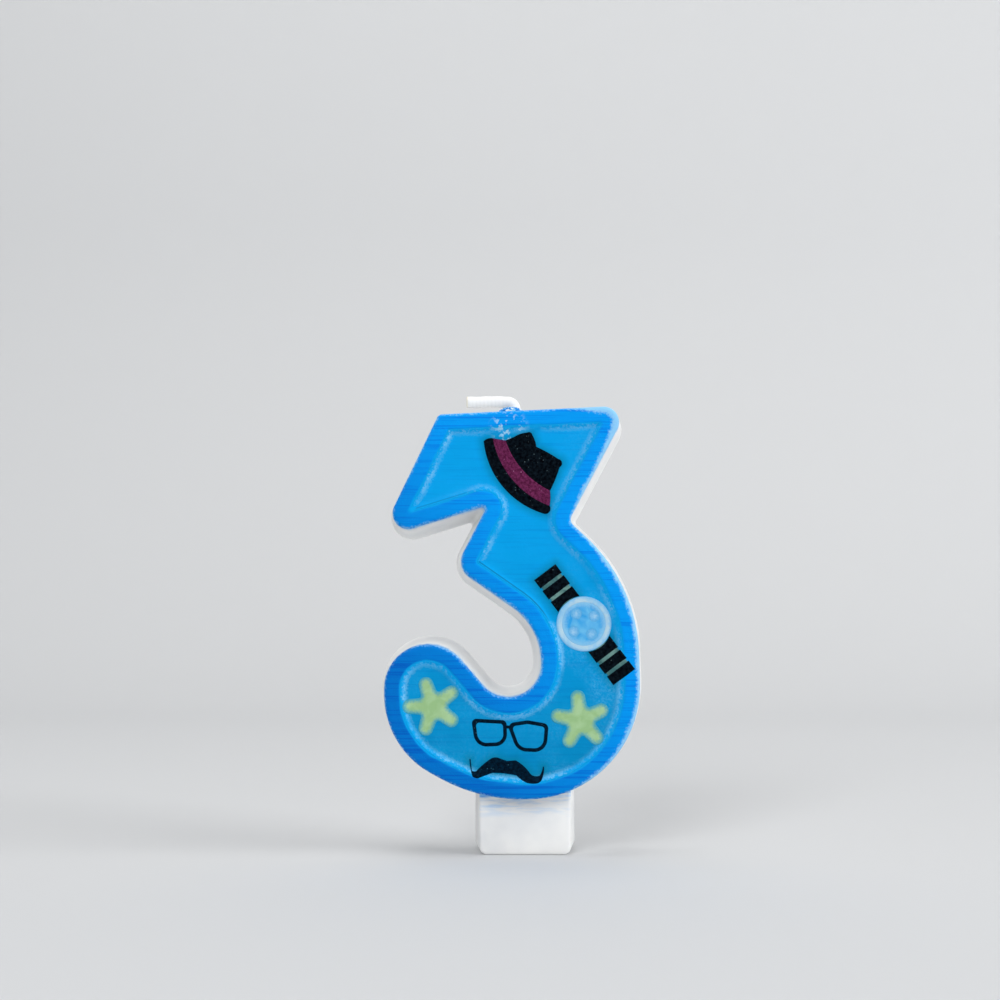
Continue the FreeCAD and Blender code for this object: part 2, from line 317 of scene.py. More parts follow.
def spilt_specks(tree, place):
    """Share of white crumbs of wax scattered below the wick, thinning out over 3 mm."""
    gap = add(tree, "VectorMath", {"operation": "DISTANCE", 1: SPECKS_AT}, {0: place})
    near = add(tree, "MapRange", {"interpolation_type": "SMOOTHSTEP", "From Min": 3.6 * MM,
                                  "From Max": 1.0 * MM, "To Max": 0.75},
               {"Value": gap.outputs["Value"]})
    crumbs = add(tree, "TexNoise", {"Scale": 1 / (0.8 * MM), "Detail": 4}, {"Vector": place})
    few = add(tree, "MapRange", {"From Min": 0.53, "From Max": 0.6}, {"Value": crumbs.outputs["Fac"]})
    share = add(tree, "Math", {"operation": "MULTIPLY"}, {0: near.outputs[0], 1: few.outputs[0]})
    return share.outputs[0]


rim_rings = np.array([at_depth(belt(NUMERAL, -inset), behind - HALF_DEPTH)
                      for inset, behind in RIM_SECTION])
rim_mesh = rings_mesh("outline_rim_band", rim_rings, closed=True)
inset_mm = rim_mesh.attributes.new("inset_mm", "FLOAT", "POINT")
inset_mm.data.foreach_set("value", np.repeat(RIM_SECTION[:, 0], rim_rings.shape[1]))

# dyed paraffin, brushed: saturated blue with streaks 0.28 mm wide; a painted light falloff makes it
# darker to the lower left and lighter to the upper right
blue_wax, tree, shader, place = new_wax("brushed_blue_paraffin", 0.5, 0.06, shine=0.05)
axes = add(tree, "SeparateXYZ", links={"Vector": place})
# painted light falloff across the rim: this ramp, named depth, is shade at the lower left and light at
# the upper right
lean = add(tree, "VectorMath", {"operation": "DOT_PRODUCT", 1: (0.030 / MM, 0, 0.021 / MM)}, {0: place})
height = add(tree, "Math", {"operation": "ADD", 1: -0.05}, {0: lean.outputs["Value"]})
depth = add(tree, "ValToRGB", links={"Fac": height.outputs[0]})
depth.color_ramp.elements[0].color = linear("0074cc")
depth.color_ramp.elements[1].color = linear("029cf6")
streak_map = add(tree, "Mapping", {"Scale": (1 / (11 * MM), 1 / (11 * MM), 1 / (0.28 * MM))},
                 {"Vector": place})
streak = add(tree, "TexNoise", {"Scale": 1.0, "Detail": 2}, {"Vector": streak_map.outputs[0]})
dark_streak = add(tree, "MapRange", {"From Min": 0.5, "From Max": 0.68, "To Max": 0.6},
                  {"Value": streak.outputs["Fac"]})
blue = add(tree, "Mix", {"data_type": "RGBA", "blend_type": "MULTIPLY", "B": linear("86b4ea")},
           {"Factor": dark_streak.outputs[0], 6: depth.outputs["Color"]})
blotch, grains = frost(tree, place)
inset = add(tree, "Attribute", {"attribute_name": "inset_mm"}).outputs["Fac"]
wander = add(tree, "Math", {"operation": "MULTIPLY_ADD", 1: -0.7}, {0: blotch, 2: inset})
ragged = add(tree, "Math", {"operation": "MULTIPLY_ADD", 1: -0.35}, {0: grains, 2: wander.outputs[0]})
# a painted glow widens the pale fringe on the right-hand edge more than on the left, and at its top
# corner most of all
glow_right = add(tree, "MapRange", {"From Min": 6 * MM, "From Max": 12 * MM, "To Max": -0.5},
                 {"Value": axes.outputs["X"]})
corner_gap = add(tree, "VectorMath", {"operation": "DISTANCE", 1: GLOW_CORNER}, {0: place})
corner = add(tree, "MapRange", {"From Min": 6 * MM, "From Max": 1.5 * MM, "To Max": -0.5},
             {"Value": corner_gap.outputs["Value"]})
painted_glow = add(tree, "Math", {"operation": "ADD"}, {0: glow_right.outputs[0], 1: corner.outputs[0]})
fringe_and_glow_inset = add(tree, "Math", {"operation": "ADD"}, {0: ragged.outputs[0], 1: painted_glow.outputs[0]})
fringe = add(tree, "MapRange", {"interpolation_type": "SMOOTHSTEP", "From Min": -0.22,
                                "From Max": -0.85, "To Max": 0.85},
             {"Value": fringe_and_glow_inset.outputs[0]})
edged = add(tree, "Mix", {"data_type": "RGBA", "B": linear("9ad4fa")},
            {"Factor": fringe.outputs[0], 6: blue.outputs[2]})
down = add(tree, "MapRange", {"interpolation_type": "SMOOTHSTEP", "From Min": 1.8, "From Max": 2.2},
           {"Value": wander.outputs[0]})
inner = add(tree, "Mix", {"data_type": "RGBA", "B": linear("04a3ea")},
            {"Factor": down.outputs[0], 6: edged.outputs[2]})
crumbed = add(tree, "Mix", {"data_type": "RGBA", "B": linear("c4e6fa")},
              {"Factor": spilt_specks(tree, place), 6: inner.outputs[2]})
tree.links.new(crumbed.outputs[2], shader.inputs["Base Color"])
streak_bump = add(tree, "Bump", {"Strength": 0.5, "Distance": 0.03 * MM},
                  {"Height": streak.outputs["Fac"]})
rim_bump = add(tree, "Bump", {"Strength": 0.4, "Distance": 0.03 * MM},
               {"Height": grains, "Normal": streak_bump.outputs[0]})
tree.links.new(rim_bump.outputs[0], shader.inputs["Normal"])
rim = show("outline_rim_band", rim_mesh, blue_wax)
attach(rim, "candle")
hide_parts("outline_rim")

# ---------------------------------------------------------------- cyan face
# The panel inside the rim is a thin pour of cyan wax. It is smooth and satin, cloudy in places,
# and deeper towards the bottom of the bowl.


def along_segments(points, starts, ends):
    """(distance, nearest point, inside) of points (P, 2) to a closed outline of segments.

    The nearest point on a segment is start + t * (end - start), t the foot of the
    perpendicular held to 0..1; inside counts the segments crossed going right.
    """
    reach = np.full(len(points), np.inf)
    nearest = np.zeros_like(points)
    inside = np.zeros(len(points), bool)
    for chunk in np.array_split(np.arange(len(points)), max(1, len(points) * len(starts) // 4_000_000)):
        p = points[chunk, None]
        run = (ends - starts)[None]
        t = np.clip(((p - starts) * run).sum(2) / (run**2).sum(2), 0, 1)
        foot = starts + t[..., None] * run
        gap = ((p - foot) ** 2).sum(2)
        best = gap.argmin(1)
        reach[chunk] = np.sqrt(gap[np.arange(len(chunk)), best])
        nearest[chunk] = foot[np.arange(len(chunk)), best]
        rises = (starts[:, 1] > p[..., 1]) != (ends[:, 1] > p[..., 1])
        slope = np.where(rises, run[..., 1], 1)
        x_there = starts[:, 0] + (p[..., 1] - starts[:, 1]) / slope * run[..., 0]
        inside[chunk] = (rises & (x_there > p[..., 0])).sum(1) % 2 == 1
    return reach, nearest, inside


NUMERAL_EDGE = belt(NUMERAL)


def inset_at(points):
    """Distance in mm of points (P, 2) in from the numeral's outline."""
    reach, nearest, inside = along_segments(points, NUMERAL_EDGE, np.roll(NUMERAL_EDGE, -1, 0))
    return np.where(inside, reach, -reach)


def cut_sheet(name, starts, ends, spacing, surface, soft=None):
    """A sheet cut to a closed outline from a grid of squares, spacing mm apart.

    A square stays if its middle is inside; corners on the cut edge move to the nearest
    point of the outline. surface gives the depth y at each corner from (points, distance in),
    the distance being to the soft segments (starts, ends) if they are given.
    """
    corners = np.concatenate([starts, ends])
    low = corners.min(0) - spacing
    high = corners.max(0) + spacing
    x = np.arange(low[0], high[0] + spacing, spacing)
    z = np.arange(low[1], high[1] + spacing, spacing)
    gx, gz = np.meshgrid(x, z)
    points = np.stack([gx.ravel(), gz.ravel()], 1)
    i, j = np.meshgrid(np.arange(len(x) - 1), np.arange(len(z) - 1))
    a = (j * len(x) + i).ravel()
    squares = np.stack([a, a + 1, a + len(x) + 1, a + len(x)], 1)
    kept = along_segments(points[squares].mean(1), starts, ends)[2]
    uses = np.bincount(squares[kept].ravel(), minlength=len(points))
    used = np.flatnonzero(uses)
    points = points[used]
    nearest = along_segments(points, starts, ends)[1]
    points = np.where((uses[used] < 4)[:, None], nearest, points)
    reach = along_segments(points, *(soft or (starts, ends)))[0]
    number = np.zeros(len(uses), int)
    number[used] = np.arange(len(used))
    y = surface(points, reach)
    mesh = bpy.data.meshes.new(name)
    spots = np.stack([points[:, 0], y, points[:, 1]], 1) * MM
    mesh.from_pydata(spots.tolist(), [], number[squares[kept]].tolist())
    for word, values in (("edge_mm", reach), ("inset_mm", inset_at(points))):
        mesh.attributes.new(word, "FLOAT", "POINT").data.foreach_set("value", values)
    mesh.shade_smooth()
    mesh.update()
    return mesh, points


def sheet_piece(name, mesh, material, thickness, body_slot, *nodes):
    """Shows a cut sheet as a closed piece riding on the candle in place of its CAD nodes."""
    piece = show(name, mesh, material)
    solidify = piece.modifiers.new("thickness", "SOLIDIFY")
    solidify.thickness = thickness * MM
    solidify.offset = -1
    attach(piece, "candle")
    if nodes:
        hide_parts(*nodes)


def outline_of(node):
    """Segments (starts, ends) in mm of a CAD node's edge as seen from the front.

    They are the sides used by only one of the node's front-facing triangles.
    """
    mesh = frame["nodes"][node].data
    spots = np.empty(len(mesh.vertices) * 3)
    mesh.vertices.foreach_get("co", spots)
    spots = spots.reshape(-1, 3) / MM
    mesh.calc_loop_triangles()
    corners = np.empty(len(mesh.loop_triangles) * 3, int)
    mesh.loop_triangles.foreach_get("vertices", corners)
    unique, number = np.unique(np.round(spots[:, [0, 2]], 3), axis=0, return_inverse=True)
    triangle = spots[corners].reshape(-1, 3, 3)
    normal = np.cross(triangle[:, 1] - triangle[:, 0], triangle[:, 2] - triangle[:, 0])
    facing = normal[:, 1] < -0.3 * np.linalg.norm(normal, axis=1)
    ids = number.ravel()[corners].reshape(-1, 3)[facing]
    sides = np.concatenate([ids[:, [0, 1]], ids[:, [1, 2]], ids[:, [2, 0]]])
    kinds, counts = np.unique(np.sort(sides, axis=1), axis=0, return_counts=True)
    rim = kinds[(counts == 1) & (kinds[:, 0] != kinds[:, 1])]
    return unique[rim[:, 0]], unique[rim[:, 1]]


# poured paraffin: clear cyan, calm and slightly cloudy; it turns teal beside the dark motifs. At the
# foot of the rim it keeps a grainy frosty line carrying a painted highlight, strongest on the left and
# in the bowl, and under the arm a thin dark line of painted shade instead
cyan_wax, tree, shader, place = new_wax("poured_cyan_paraffin", 0.45, 0.06, shine=0.06)
axes = add(tree, "SeparateXYZ", links={"Vector": place})
cloud = add(tree, "TexNoise", {"Scale": 1 / (6 * MM), "Detail": 3, "Distortion": 0.4}, {"Vector": place})
height = add(tree, "MapRange", {"From Min": 12 * MM, "From Max": 50 * MM}, {"Value": axes.outputs["Z"]})
low_cyan = add(tree, "Mix", {"data_type": "RGBA", "A": linear("0080b6"), "B": linear("0296d0")},
               {"Factor": cloud.outputs["Fac"]})
high_cyan = add(tree, "Mix", {"data_type": "RGBA", "A": linear("009de2"), "B": linear("04aaf6")},
                {"Factor": cloud.outputs["Fac"]})
cyan = add(tree, "Mix", {"data_type": "RGBA"},
           {"Factor": height.outputs[0], 6: low_cyan.outputs[2], 7: high_cyan.outputs[2]})
# the brush that streaked the rim touched the face as well, more lightly
brush_map = add(tree, "Mapping", {"Scale": (1 / (9 * MM), 1 / (9 * MM), 1 / (0.3 * MM))},
                {"Vector": place})
brush = add(tree, "TexNoise", {"Scale": 1.0, "Detail": 2}, {"Vector": brush_map.outputs[0]})
brushed = add(tree, "MapRange", {"From Min": 0.5, "From Max": 0.7, "To Max": 0.3},
              {"Value": brush.outputs["Fac"]})
streaked = add(tree, "Mix", {"data_type": "RGBA", "blend_type": "MULTIPLY", "B": linear("a8cce8")},
               {"Factor": brushed.outputs[0], 6: cyan.outputs[2]})
blotch, grains = frost(tree, place)
inset = add(tree, "Attribute", {"attribute_name": "inset_mm"}).outputs["Fac"]
shaded = add(tree, "Attribute", {"attribute_name": "teal"}).outputs["Fac"]
dim = add(tree, "Mix", {"data_type": "RGBA", "B": linear("007da4")},
          {"Factor": shaded, 6: streaked.outputs[2]})
wander = add(tree, "Math", {"operation": "MULTIPLY_ADD", 1: -0.7}, {0: blotch, 2: inset})
slope_near = add(tree, "MapRange", {"interpolation_type": "SMOOTHSTEP", "From Min": 3.2,
                                    "From Max": 2.6}, {"Value": wander.outputs[0]})
sloped = add(tree, "Mix", {"data_type": "RGBA", "B": linear("04a3ea")},
             {"Factor": slope_near.outputs[0], 6: dim.outputs[2]})
ragged = add(tree, "Math", {"operation": "MULTIPLY_ADD", 1: 0.5}, {0: grains, 2: inset})
line_up = add(tree, "MapRange", {"interpolation_type": "SMOOTHSTEP", "From Min": 2.9, "From Max": 3.4},
              {"Value": ragged.outputs[0]})
line_down = add(tree, "MapRange", {"interpolation_type": "SMOOTHSTEP", "From Min": 4.0,
                                   "From Max": 3.55}, {"Value": ragged.outputs[0]})
lee = add(tree, "Attribute", {"attribute_name": "under_arm"}).outputs["Fac"]
broken = add(tree, "MapRange", {"From Min": 0.32, "From Max": 0.58, "To Max": 0.72}, {"Value": blotch})
# strength of the painted highlight on the frosty line, set by which way the rim's wall faces
frost_highlight_here = add(tree, "Attribute", {"attribute_name": "frost_highlight"}).outputs["Fac"]
frost_and_highlight = add(tree, "Math", {"operation": "SUBTRACT", "use_clamp": True},
             {0: broken.outputs[0], 1: lee})
grainy = add(tree, "MapRange", {"To Min": 0.35}, {"Value": grains})
for part in (line_up.outputs[0], line_down.outputs[0], frost_highlight_here, grainy.outputs[0]):
    frost_and_highlight = add(tree, "Math", {"operation": "MULTIPLY"}, {0: frost_and_highlight.outputs[0], 1: part})
frost_and_highlight_mixed = add(tree, "Mix", {"data_type": "RGBA", "B": linear("8fd2f8")},
              {"Factor": frost_and_highlight.outputs[0], 6: sloped.outputs[2]})
# painted shade: a thin dark line at the foot of the rim under the arm
past_shade_line = add(tree, "Math", {"operation": "ADD", 1: -2.85}, {0: inset})
off_shade_line = add(tree, "Math", {"operation": "ABSOLUTE"}, {0: past_shade_line.outputs[0]})
shade_line = add(tree, "MapRange", {"interpolation_type": "SMOOTHSTEP", "From Min": 0.16,
                                "From Max": 0.05, "To Max": 0.7},
             {"Value": off_shade_line.outputs[0]})
shade_line_here = add(tree, "Math", {"operation": "MULTIPLY"}, {0: shade_line.outputs[0], 1: lee})
shade_lined = add(tree, "Mix", {"data_type": "RGBA", "B": linear("03669c")},
              {"Factor": shade_line_here.outputs[0], 6: frost_and_highlight_mixed.outputs[2]})
# a fine pale bloom, thickest on the right of the bowl
bloom = add(tree, "MapRange", {"interpolation_type": "SMOOTHSTEP", "From Min": 2 * MM,
                               "From Max": 12 * MM, "To Min": 0.05, "To Max": 0.23},
            {"Value": axes.outputs["X"]})
cloudy = add(tree, "MapRange", {"From Min": 0.42, "From Max": 0.66}, {"Value": cloud.outputs["Fac"]})
lower = add(tree, "MapRange", {"From Min": 46 * MM, "From Max": 36 * MM, "To Min": 0.3},
            {"Value": axes.outputs["Z"]})
for part in (cloudy.outputs[0], lower.outputs[0], grains):
    bloom = add(tree, "Math", {"operation": "MULTIPLY"}, {0: bloom.outputs[0], 1: part})
bloomed = add(tree, "Mix", {"data_type": "RGBA", "B": linear("7cccf4")},
              {"Factor": bloom.outputs[0], 6: shade_lined.outputs[2]})
crumbed = add(tree, "Mix", {"data_type": "RGBA", "B": linear("b4e0fa")},
              {"Factor": spilt_specks(tree, place), 6: bloomed.outputs[2]})
tree.links.new(crumbed.outputs[2], shader.inputs["Base Color"])
soft_bump = add(tree, "Bump", {"Strength": 0.4, "Distance": 0.15 * MM},
                {"Height": cloud.outputs["Fac"]})
grain_bump = add(tree, "Bump", {"Strength": 0.25, "Distance": 0.02 * MM},
                 {"Height": grains, "Normal": soft_bump.outputs[0]})
tree.links.new(grain_bump.outputs[0], shader.inputs["Normal"])

DARK_MOTIFS = ["hat_brim", "hat_crown", "hat_band", "strap_upper_1", "strap_upper_2", "strap_upper_3",
               "strap_lower_1", "strap_lower_2", "strap_lower_3", "moustache"]
FACE_INSET = 2.5
FACE_SPACING = 0.2
TEAL_REACH = 1.6
DOWN_LEFT = (-0.45, -0.89)
LEFT = (-0.95, 0.3)
face_edge = belt(NUMERAL, -FACE_INSET)
face_mesh, points = cut_sheet("face_fill_pour", face_edge, np.roll(face_edge, -1, 0), FACE_SPACING,
                              lambda points, reach: front_behind(inset_at(points)) - HALF_DEPTH)
dark_sides = [outline_of(node) for node in DARK_MOTIFS]
beside = along_segments(points, np.concatenate([pair[0] for pair in dark_sides]),
                        np.concatenate([pair[1] for pair in dark_sides]))[0]
# each point's way out to the outline tells which side of the numeral it lies on: the painted shade line
# runs where that way is down and left, and the painted highlight on the frost is strongest where it is
# left
reach, nearest = along_segments(points, NUMERAL_EDGE, np.roll(NUMERAL_EDGE, -1, 0))[:2]
outward = (nearest - points) / reach[:, None]
under_arm = np.clip((outward @ DOWN_LEFT - 0.6) / 0.2, 0, 1) * np.clip((points[:, 1] - 37) / 2, 0, 1)
under_arm *= np.where(points[:, 1] > 52, np.clip((-8 - points[:, 0]) / 2, 0, 1), 1)
in_bowl = np.clip((38 - points[:, 1]) / 4, 0, 1)
# painted highlight strength: strong where the rim lies to the left and in the bowl, weaker elsewhere
frost_highlight = 0.45 + 0.55 * np.maximum(np.clip((outward @ LEFT - 0.5) / 0.3, 0, 1), 0.6 * in_bowl)
teal = 0.75 * np.clip(1 - beside / TEAL_REACH, 0, 1) ** 1.5
for word, values in (("teal", teal), ("under_arm", under_arm), ("frost_highlight", frost_highlight)):
    face_mesh.attributes.new(word, "FLOAT", "POINT").data.foreach_set("value", values)
sheet_piece("face_fill_pour", face_mesh, cyan_wax, 0.35, "cyan_wax", "face_fill")

# ---------------------------------------------------------------- hat
# A hat with a curled brim, tipped to the right: black wax laid in the face, with a plum band.
# Fine glitter was stirred into both waxes, and the edges are a little soft.
RELIEF = 0.07
EDGE_RELIEF = 0.015
SKIN = 0.15
TOUCHING = 0.08


def film_surface(rise, round_edge=0.3):
    """Surface of a motif: rise mm proud of the wax, rounding down as a quarter ellipse.

    A round_edge of 0 keeps it level to its very edge, for an inlay flush with its neighbours.
    """
    def surface(points, reach):
        share = np.clip(1 - reach / round_edge, 0, 1) if round_edge else 0
        up = EDGE_RELIEF + (rise - EDGE_RELIEF) * np.sqrt(1 - share**2)
        return front_behind(inset_at(points)) - HALF_DEPTH - up
    return surface


def motif(node, material, body_slot, rise=RELIEF, spacing=0.1, beside=(), round_edge=0.3):
    """A motif cut to its CAD node's outline; its edge stays full where it meets those beside."""
    starts, ends = outline_of(node)
    soft = None
    if beside:
        others = [outline_of(other) for other in beside]
        gap = along_segments((starts + ends) / 2, np.concatenate([pair[0] for pair in others]),
                             np.concatenate([pair[1] for pair in others]))[0]
        soft = (starts[gap > TOUCHING], ends[gap > TOUCHING])
    mesh = cut_sheet(node + "_inlay", starts, ends, spacing, film_surface(rise, round_edge), soft)[0]
    sheet_piece(node + "_inlay", mesh, material, SKIN, body_slot, node)


def soft_edge(tree, shader, colour, edge_colour, width, most=0.8):
    """Lets a motif's colour bleed into edge_colour over width mm at its edge, as soft wax does."""
    edge = add(tree, "Attribute", {"attribute_name": "edge_mm"}).outputs["Fac"]
    wobble = add(tree, "TexNoise", {"Scale": 1 / (0.3 * MM), "Detail": 3},
                 {"Vector": tree.nodes["Texture Coordinate"].outputs["Object"]})
    uneven = add(tree, "Math", {"operation": "MULTIPLY_ADD", 1: -0.9 * width},
                 {0: wobble.outputs["Fac"], 2: edge})
    bleed = add(tree, "MapRange", {"interpolation_type": "SMOOTHSTEP", "From Min": 0.55 * width,
                                   "From Max": -0.5 * width, "To Max": most},
                {"Value": uneven.outputs[0]})
    mixed = add(tree, "Mix", {"data_type": "RGBA", "B": linear(edge_colour)},
                {"Factor": bleed.outputs[0], 6: colour})
    tree.links.new(mixed.outputs[2], shader.inputs["Base Color"])


def glitter_wax(name, dark, light, spark, edge_colour, width=0.2):
    """Dyed wax with fine glitter: dark and light are its two shades, spark its brightest flakes."""
    material, tree, shader, place = new_wax(name, 0.45, 0.0, shine=0.02)
    cloud = add(tree, "TexNoise", {"Scale": 1 / (0.5 * MM), "Detail": 4, "Roughness": 0.7},
                {"Vector": place})
    shade = add(tree, "ValToRGB", links={"Fac": cloud.outputs["Fac"]})
    shade.color_ramp.elements[0].position = 0.4
    shade.color_ramp.elements[0].color = linear(dark)
    shade.color_ramp.elements[1].position = 0.7
    shade.color_ramp.elements[1].color = linear(light)
    # flakes are 0.05 mm in life and drawn 0.2 mm across so that they show
    flakes = add(tree, "TexVoronoi", {"Scale": 1 / (0.3 * MM)}, {"Vector": place})
    pick = add(tree, "SeparateColor", links={"Color": flakes.outputs["Color"]})
    lit = add(tree, "MapRange", {"From Min": 0.94, "From Max": 1.0, "To Max": 0.8},
              {"Value": pick.outputs[0]})
    centre = add(tree, "MapRange", {"From Min": 0.4, "From Max": 0.15},
                 {"Value": flakes.outputs["Distance"]})
    amount = add(tree, "Math", {"operation": "MULTIPLY"}, {0: lit.outputs[0], 1: centre.outputs[0]})
    dusted = add(tree, "Mix", {"data_type": "RGBA", "B": linear(spark)},
                 {"Factor": amount.outputs[0], 6: shade.outputs["Color"]})
    soft_edge(tree, shader, dusted.outputs[2], edge_colour, width)
    bump = add(tree, "Bump", {"Strength": 0.4, "Distance": 0.02 * MM}, {"Height": pick.outputs[1]})
    tree.links.new(bump.outputs[0], shader.inputs["Normal"])
    return material


black_wax = glitter_wax("black_glitter_paraffin", "000106", "111d26", "62787c", "022e40", width=0.13)
plum_wax = glitter_wax("plum_glitter_paraffin", "4c1636", "7d3260", "b87ca4", "33386c")
motif("hat_brim", black_wax, "black_wax", beside=("hat_band",))
motif("hat_crown", black_wax, "black_wax", beside=("hat_band",))
motif("hat_band", plum_wax, "plum_wax", beside=("hat_brim", "hat_crown"))

# ---------------------------------------------------------------- wristwatch
# A watch in pearly blue wax: a ring, a dial with four pale marks, and a strap of six black links, three
# above and three below, laid over a grey-green sheet that shows between them as the painted sheen of
# scraped black wax.


def pearly_wax(name, dark, light, edge_colour, width, most=0.8, relief=0.3):
    """Pale wax with a pearl's cloudy swirl, from dark to light, bleeding at its edge."""
    material, tree, shader, place = new_wax(name, 0.45, 0.1, shine=0.12)
    swirl = add(tree, "TexNoise", {"Scale": 1 / (2.2 * MM), "Detail": 5, "Distortion": 0.8},
                {"Vector": place})
    shade = add(tree, "ValToRGB", links={"Fac": swirl.outputs["Fac"]})
    shade.color_ramp.elements[0].position = 0.38
    shade.color_ramp.elements[0].color = linear(dark)
    shade.color_ramp.elements[1].position = 0.64
    shade.color_ramp.elements[1].color = linear(light)
    soft_edge(tree, shader, shade.outputs["Color"], edge_colour, width, most)
    bump = add(tree, "Bump", {"Strength": relief, "Distance": 0.05 * MM},
               {"Height": swirl.outputs["Fac"]})
    tree.links.new(bump.outputs[0], shader.inputs["Normal"])
    return material


dial_wax = pearly_wax("pearly_sky_paraffin", "2ea0ea", "6cc2f4", "94ccf2", 1.1)
ring_wax = pearly_wax("pearly_pale_paraffin", "94ccf2", "bcdcee", "74bef0", 0.55)
mark_wax = pearly_wax("milky_paraffin", "94ccf2", "b8dcf6", "5eb2ea", 1.2, most=1.0)
# grey-green painted sheen of scraped black wax, shown between the strap's links
sheen_sheet_wax = pearly_wax("grey_green_sheen_paraffin", "3f6c6e", "6f9690", "0f7c94", 0.2)
WATCH_CENTRE = np.array([9.45, 27.75 + FOOT_HEIGHT])
STRAP_ALONG = np.array([-math.sin(math.radians(37)), math.cos(math.radians(37))])
STRAP_ACROSS = np.array([STRAP_ALONG[1], -STRAP_ALONG[0]])
# the painted sheen sheet starts under the ring and ends short of the last link's end
SHEEN_FROM, SHEEN_TO, HALF_SHEEN = 4.3, 10.2, 1.95
for word, side in (("upper", 1), ("lower", -1)):
    corners = np.array([(SHEEN_FROM, -HALF_SHEEN), (SHEEN_TO, -HALF_SHEEN),
                        (SHEEN_TO, HALF_SHEEN), (SHEEN_FROM, HALF_SHEEN)])
    corners = WATCH_CENTRE + side * corners[:, :1] * STRAP_ALONG + corners[:, 1:] * STRAP_ACROSS
    mesh = cut_sheet("strap_sheen_" + word, corners, np.roll(corners, -1, 0), 0.15,
                     film_surface(0.03))[0]
    sheet_piece("strap_sheen_" + word, mesh, sheen_sheet_wax, 0.1, "green_wax")
    for number in (1, 2, 3):
        motif("strap_" + word + "_" + str(number), black_wax, "black_wax", spacing=0.08)
motif("watch_bezel", ring_wax, "pale_blue_wax", rise=0.05, beside=("watch_dial",))
motif("watch_dial", dial_wax, "sky_wax", rise=0.05, round_edge=0,
      beside=["watch_mark_" + str(number) for number in range(1, 5)])
for number in range(1, 5):
    motif("watch_mark_" + str(number), mark_wax, "pale_blue_wax", rise=0.05, spacing=0.07,
          round_edge=0)

# ---------------------------------------------------------------- stars
# Two plump five-armed stars in opaque pale green wax, laid on thinly while warm, so that their
# edges have sunk and bled into the cyan.
star_wax = pearly_wax("pale_green_paraffin", "9bc48a", "add29e", "2c9dc0", 0.95, most=0.95, relief=0.08)
motif("star_left", star_wax, "green_wax", rise=0.025, round_edge=0.6)
motif("star_right", star_wax, "green_wax", rise=0.025, round_edge=0.6)

# ---------------------------------------------------------------- glasses and moustache
# A pair of glasses drawn in one thin line, and a moustache with curled ends, both in dark navy
# wax laid on the lower part of the bowl, the moustache partly on the rim's slope.
navy_wax = glitter_wax("navy_paraffin", "010d1c", "05283e", "4f8fa8", "034a70", width=0.1)
motif("glasses", navy_wax, "navy_wax", rise=0.06, spacing=0.07)
motif("moustache", navy_wax, "navy_wax", spacing=0.08)

# ---------------------------------------------------------------- wick
# A braided cotton wick stiffened with white wax. It stands in the body, bends over close to the
# top edge and lies flat to the left for packing; its cut end shows the yellowish cotton.
bend = np.array(frame["joints"][0]["pos_m"]) / MM
WICK_RADIUS = 0.98
WICK_REACH = 7.9
WICK_EMBED = 23.9
FOLD = 1.25
BRAID_TURN = 5.0
# the cut end: share of the wick's radius, and how far that ring stands out
CUT_END = ((0.96, 0.03), (0.88, 0.05), (0.6, 0.0), (0.3, 0.04))


def wick_line(along):
    """(centre, tangent) of the wick's middle line at lengths along it, in the X-Z plane.

    It runs straight up, turns left on a quarter circle of radius FOLD, and runs straight left.
    """
    rise = WICK_EMBED - FOLD
    quarter = FOLD * np.pi / 2
    turn = np.clip((along - rise) / FOLD, 0, np.pi / 2)
    up = np.minimum(along, rise) + FOLD * np.sin(turn)
    left = FOLD * (1 - np.cos(turn)) + np.maximum(along - rise - quarter, 0)
    centre = np.stack([bend[0] - left, np.full_like(along, bend[1]), bend[2] - WICK_EMBED + up], 1)
    tangent = np.stack([-np.sin(turn), np.zeros_like(along), np.cos(turn)], 1)
    return centre, tangent


length = WICK_EMBED - FOLD + FOLD * np.pi / 2 + WICK_REACH - FOLD
steps = np.concatenate([np.linspace(0, WICK_EMBED - 3.5, 30)[:-1],
                        np.linspace(WICK_EMBED - 3.5, length, 260)])
centre, tangent = wick_line(steps)
theta = np.linspace(0, 2 * np.pi, 72, endpoint=False)
# strands cross as two opposite sets of helices, one turn in 5 mm, drowned in wax
spiral = 2 * np.pi * steps[:, None] / BRAID_TURN
weave = np.cos(4 * (theta + spiral)) * np.cos(4 * (theta - spiral))
lumps = (0.03 * np.sin(1.1 * steps[:, None] + theta)
         + 0.016 * np.sin(2.7 * steps[:, None] - 2 * theta + 1)
         + 0.006 * np.sin(5.3 * steps[:, None] + 3 * theta))
radius = WICK_RADIUS * (0.94 + 0.001 * weave) + lumps
across = np.cross(tangent, (0, 1, 0))
rings = (centre[:, None] + radius[..., None] * (np.cos(theta)[None, :, None] * across[:, None]
                                                + np.sin(theta)[None, :, None] * np.array([0, 1, 0])))
cut = []
for share, out in CUT_END:
    grain = 0.05 * np.cos(7 * theta)[:, None] * (1 - share)
    cut.append(centre[-1] + (rings[-1] - centre[-1]) * share + tangent[-1] * (out + grain))
rings = np.concatenate([rings, np.array(cut)])
wick_mesh = rings_mesh("wick_braid", rings)
wick_mesh.attributes.new("weave", "FLOAT", "POINT").data.foreach_set(
    "value", np.concatenate([weave, np.zeros((len(cut), len(theta)))]).ravel())
wick_mesh.attributes.new("cut_end", "FLOAT", "POINT").data.foreach_set(
    "value", np.repeat(np.concatenate([np.clip((steps - length + 0.25) / 0.25, 0, 0.7),
                                       np.ones(len(cut))]), len(theta)))
